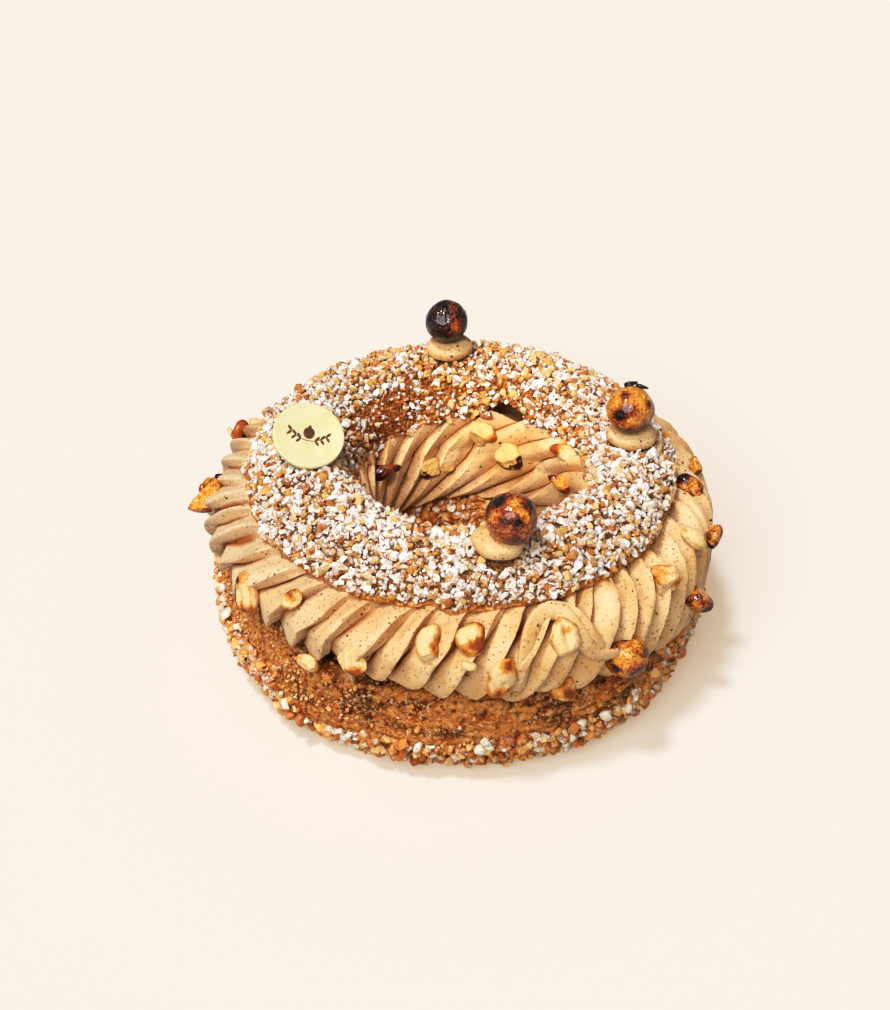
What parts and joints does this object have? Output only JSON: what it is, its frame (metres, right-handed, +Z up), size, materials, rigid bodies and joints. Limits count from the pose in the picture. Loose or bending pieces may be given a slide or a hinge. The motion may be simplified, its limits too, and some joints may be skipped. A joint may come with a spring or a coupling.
{
  "type": "paris brest pastry",
  "caption": "Ring of choux pastry split in two, filled with ridged praline cream and hazelnut pieces, with a sugared lid topped by caramelised hazelnuts and a chocolate disc.",
  "frame": {"origin": "centre of the bounding box at the foot of the pastry, on the surface it stands on", "axes": "+Z up through the ring's hole; -Y is the front, where the most hazelnut halves show; the chocolate disc is on the -X side of the lid"},
  "size_m": [0.159, 0.1554, 0.0859],
  "materials": {
    "baked_crust": "baked choux crust with pores, chopped hazelnuts and sugar nibs",
    "sugared_crust": "baked choux under chopped hazelnuts, sugar grains and icing sugar",
    "praline_cream": "smooth tan praline cream with fine nut specks",
    "caramelised_nut": "hazelnut in glossy amber caramel with burnt spots",
    "toasted_nut": "roasted hazelnut, pale inside with golden patches and scraps of brown skin",
    "white_chocolate": "smooth satin ivory chocolate"
  },
  "bodies": {
    "root": {"choux_base": "baked_crust", "praline_cream": "praline_cream", "choux_lid": "sugared_crust", "dollop_back": "praline_cream", "dollop_right": "praline_cream", "dollop_front": "praline_cream", "dollop_left": "praline_cream", "hazelnut_back": "caramelised_nut", "hazelnut_right": "caramelised_nut", "hazelnut_front": "caramelised_nut", "chocolate_disc": "white_chocolate", "half_left": "caramelised_nut", "chunk_left_back": "toasted_nut", "half_left_front": "toasted_nut", "chip_left_front": "toasted_nut", "chip_front_left": "toasted_nut", "chunk_front_left": "toasted_nut", "half_front_slim": "toasted_nut", "half_front_gold": "toasted_nut", "half_front_low": "toasted_nut", "half_front_wide": "toasted_nut", "wedge_front": "toasted_nut", "hazelnut_side": "caramelised_nut", "chunk_right_front": "toasted_nut", "half_right": "toasted_nut", "caramel_chunk_low": "caramelised_nut", "caramel_chunk_mid": "caramelised_nut", "caramel_chunk_rim": "caramelised_nut", "caramel_chip_rim": "caramelised_nut", "hole_chunk_back": "toasted_nut", "hole_half_back": "toasted_nut", "hole_chunk_left": "toasted_nut", "hole_shell_right": "toasted_nut", "hole_chip_right": "caramelised_nut", "hole_shard_left": "caramelised_nut"}
  },
  "joints": []
}
